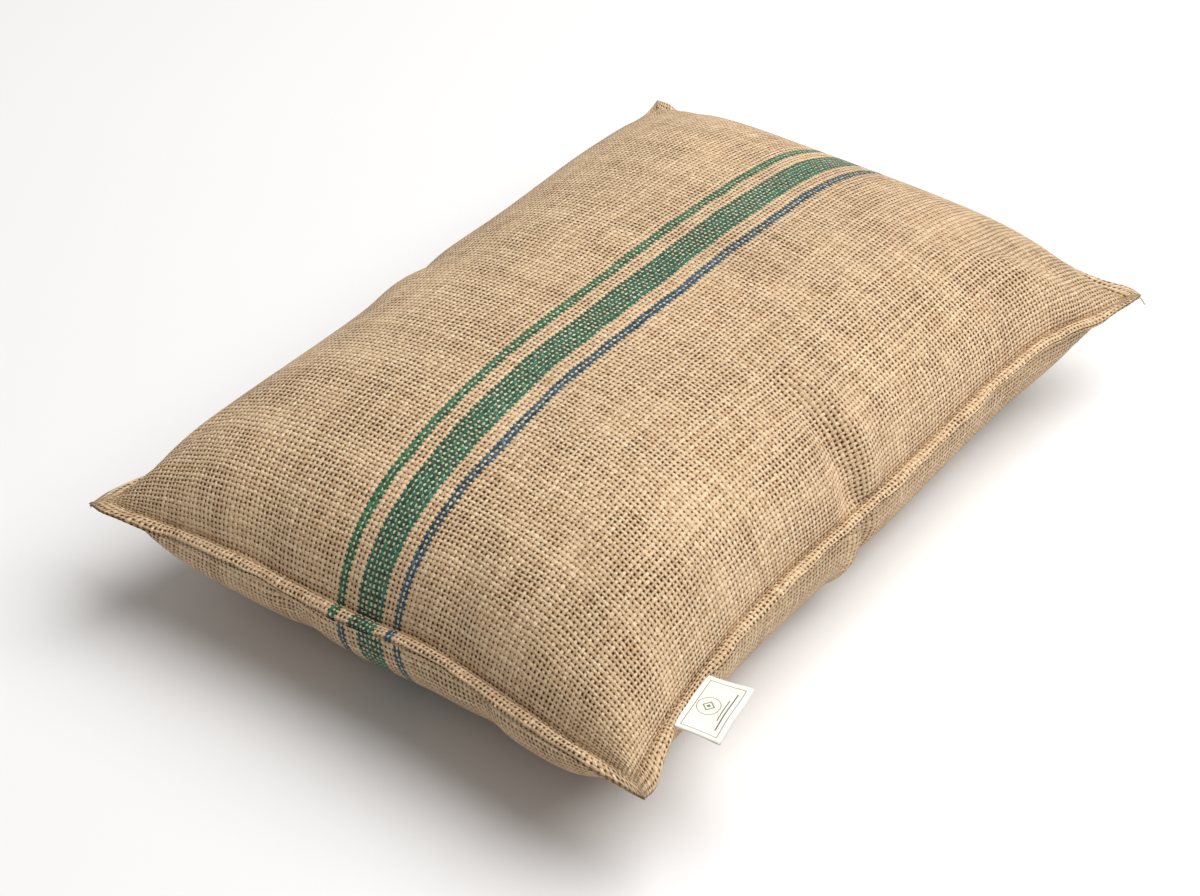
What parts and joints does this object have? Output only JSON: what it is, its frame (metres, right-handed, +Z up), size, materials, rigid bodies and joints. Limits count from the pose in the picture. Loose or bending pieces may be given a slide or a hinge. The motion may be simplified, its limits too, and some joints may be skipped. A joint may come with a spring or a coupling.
{
  "type": "stuffed jute sack cushion",
  "caption": "Rectangular stuffed cushion in striped hessian with a stitched welt edge, a folded side label and a hidden zip.",
  "frame": {"origin": "middle of the flat patch that the cushion rests on", "axes": "+Z up, +Y along the length and the stripes towards the zip edge, +X across the width towards the labelled long edge"},
  "size_m": [0.4257, 0.59, 0.1654],
  "materials": {
    "hessian": "open plain weave jute sacking, undyed, with woven green and blue stripes",
    "seam_thread": "twisted sewing thread",
    "label_cloth": "off-white woven tape",
    "calico": "plain unbleached cotton",
    "fibre": "loose hollow fibre",
    "zip_tape": "woven tape",
    "zip_coil": "nylon monofilament",
    "zip_metal": "antique brass plate"
  },
  "bodies": {
    "cushion": {"cover_top_panel": "hessian", "cover_bottom_panel": "hessian", "closing_seam_thread": "seam_thread", "topstitch_thread_upper": "seam_thread", "topstitch_thread_lower": "seam_thread", "side_label_tail": "label_cloth", "inner_case_top": "calico", "inner_case_bottom": "calico", "inner_case_seam_thread": "calico", "fibre_filling": "fibre", "zip_tape_upper": "zip_tape", "zip_tape_lower": "zip_tape", "zip_coil_upper": "zip_coil", "zip_coil_lower": "zip_coil", "zip_bottom_stop": "zip_metal", "zip_top_stop_upper": "zip_coil", "zip_top_stop_lower": "zip_coil"},
    "label": {"side_label_flap": "label_cloth"},
    "slider": {"zip_slider": "zip_metal"},
    "pull": {"zip_pull_tab": "zip_metal"}
  },
  "joints": [
    {"name": "label_bend", "type": "hinge", "parent": "cushion", "child": "label", "pos_m": [0.1906, -0.21689, 0.078], "axis": [0.1521, -0.9884, 0], "range_deg": [-80, 80], "stiffness_Nm_per_rad": 0.002},
    {"name": "zip_slide", "type": "slide", "parent": "cushion", "child": "slider", "axis": [-1, 0, 0], "range_m": [0, 0.2524]},
    {"name": "pull_swing", "type": "hinge", "parent": "slider", "child": "pull", "pos_m": [0.1262, 0.285, 0.078], "axis": [0, 0, -1], "range_deg": [0, 170]}
  ]
}
